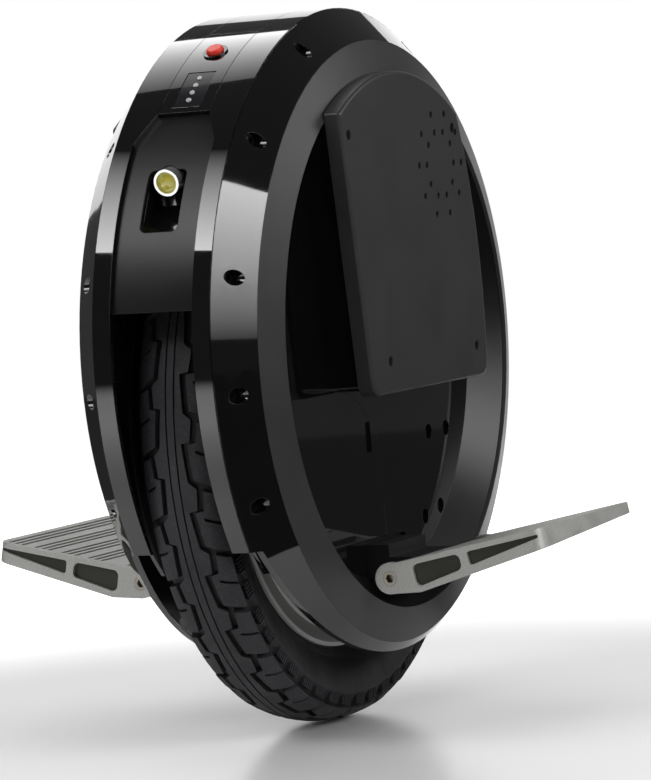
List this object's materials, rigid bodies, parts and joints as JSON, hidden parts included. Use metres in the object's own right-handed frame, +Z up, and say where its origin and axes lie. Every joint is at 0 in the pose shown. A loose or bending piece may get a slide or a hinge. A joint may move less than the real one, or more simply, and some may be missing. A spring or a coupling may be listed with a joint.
{
  "type": "electric unicycle",
  "caption": "Electric unicycle: a hub-motor wheel in a round glossy shell, with folding cast pedals, side plates, a headlight, a power button and a lifting grip.",
  "frame": {"origin": "on the ground under the axle, in the middle of the machine", "axes": "+Z up, +X along the axle to the rider's left, -Y the front with the headlight"},
  "size_m": [0.3588, 0.4, 0.427],
  "materials": {
    "gloss_shell": "polished black",
    "satin_trim": "satin dark grey",
    "inner_plastic": "moulded black",
    "tyre": "matt black",
    "tube_rubber": "matt black",
    "cast_aluminium": "blasted",
    "rim_aluminium": "turned",
    "cast_black": "painted black",
    "screw_steel": "black oxide",
    "steel": "ground",
    "chrome": "bright",
    "lamp_lens": "clear yellow",
    "lamp_dark": "smoked",
    "lamp_white": "milky",
    "red_button": "satin red",
    "red_lens": "clear red",
    "copper": "enamelled copper",
    "laminations": "stacked sheet",
    "magnet": "nickel plated",
    "battery_wrap": "shrink wrap",
    "board": "lacquered"
  },
  "bodies": {
    "chassis": {"left_frame_half": "gloss_shell", "right_frame_half": "gloss_shell", "left_side_cover": "gloss_shell", "right_side_cover": "gloss_shell", "front_cover": "gloss_shell", "rear_cover": "gloss_shell", "control_panel": "gloss_shell", "rear_panel": "gloss_shell", "left_access_cover": "gloss_shell", "right_access_cover": "gloss_shell", "left_bezel_ring": "satin_trim", "right_bezel_ring": "satin_trim", "left_side_plate": "satin_trim", "right_side_plate": "satin_trim", "wheel_arch": "inner_plastic", "top_bridge": "inner_plastic", "handle_tray": "inner_plastic", "power_switch": "inner_plastic", "headlight_housing": "inner_plastic", "speaker": "inner_plastic", "charge_socket": "inner_plastic", "button_collar": "inner_plastic", "heat_sink": "cast_aluminium", "left_pedal_bracket": "cast_black", "right_pedal_bracket": "cast_black", "axle_clamps": "cast_black", "cover_screws": "screw_steel", "plate_screws": "screw_steel", "floor_bolts": "screw_steel", "clamp_screws": "screw_steel", "axle": "steel", "hinge_pins": "steel", "headlight_ring": "chrome", "headlight_lens": "lamp_lens", "indicator_window": "lamp_dark", "indicator_lamps": "lamp_white", "headlight_base": "lamp_white", "tail_light": "red_lens", "stator_coils": "copper", "stator_core": "laminations", "left_battery": "battery_wrap", "right_battery": "battery_wrap", "capacitors": "battery_wrap", "control_board": "board"},
    "wheel": {"tyre": "tyre", "inner_tube": "tube_rubber", "rim": "rim_aluminium", "rotor_ring": "steel", "magnets": "magnet", "left_motor_lid": "rim_aluminium", "right_motor_lid": "rim_aluminium", "motor_lid_screws": "screw_steel", "wheel_bearings": "steel", "valve_stem": "steel"},
    "left_pedal": {"left_pedal": "cast_aluminium"},
    "right_pedal": {"right_pedal": "cast_aluminium"},
    "power_button": {"power_button": "red_button"},
    "carry_handle": {"carry_handle": "gloss_shell"}
  },
  "joints": [
    {"name": "wheel_spin", "type": "hinge", "parent": "chassis", "child": "wheel", "pos_m": [0, 0, 0.184], "axis": [1, 0, 0], "continuous": true},
    {"name": "left_pedal_fold", "type": "hinge", "parent": "chassis", "child": "left_pedal", "pos_m": [0.0816, -0.007, 0.0935], "axis": [0, -1, 0], "range_deg": [0, 73]},
    {"name": "right_pedal_fold", "type": "hinge", "parent": "chassis", "child": "right_pedal", "pos_m": [-0.0816, -0.007, 0.0935], "axis": [0, 1, 0], "range_deg": [0, 73]},
    {"name": "button_press", "type": "slide", "parent": "chassis", "child": "power_button", "axis": [0, 0.4664, -0.8846], "range_m": [0, 0.0015], "stiffness_N_per_m": 1500, "springref_m": -0.0005},
    {"name": "handle_lift", "type": "slide", "parent": "chassis", "child": "carry_handle", "axis": [0, 0, 1], "range_m": [0, 0.0234]}
  ]
}
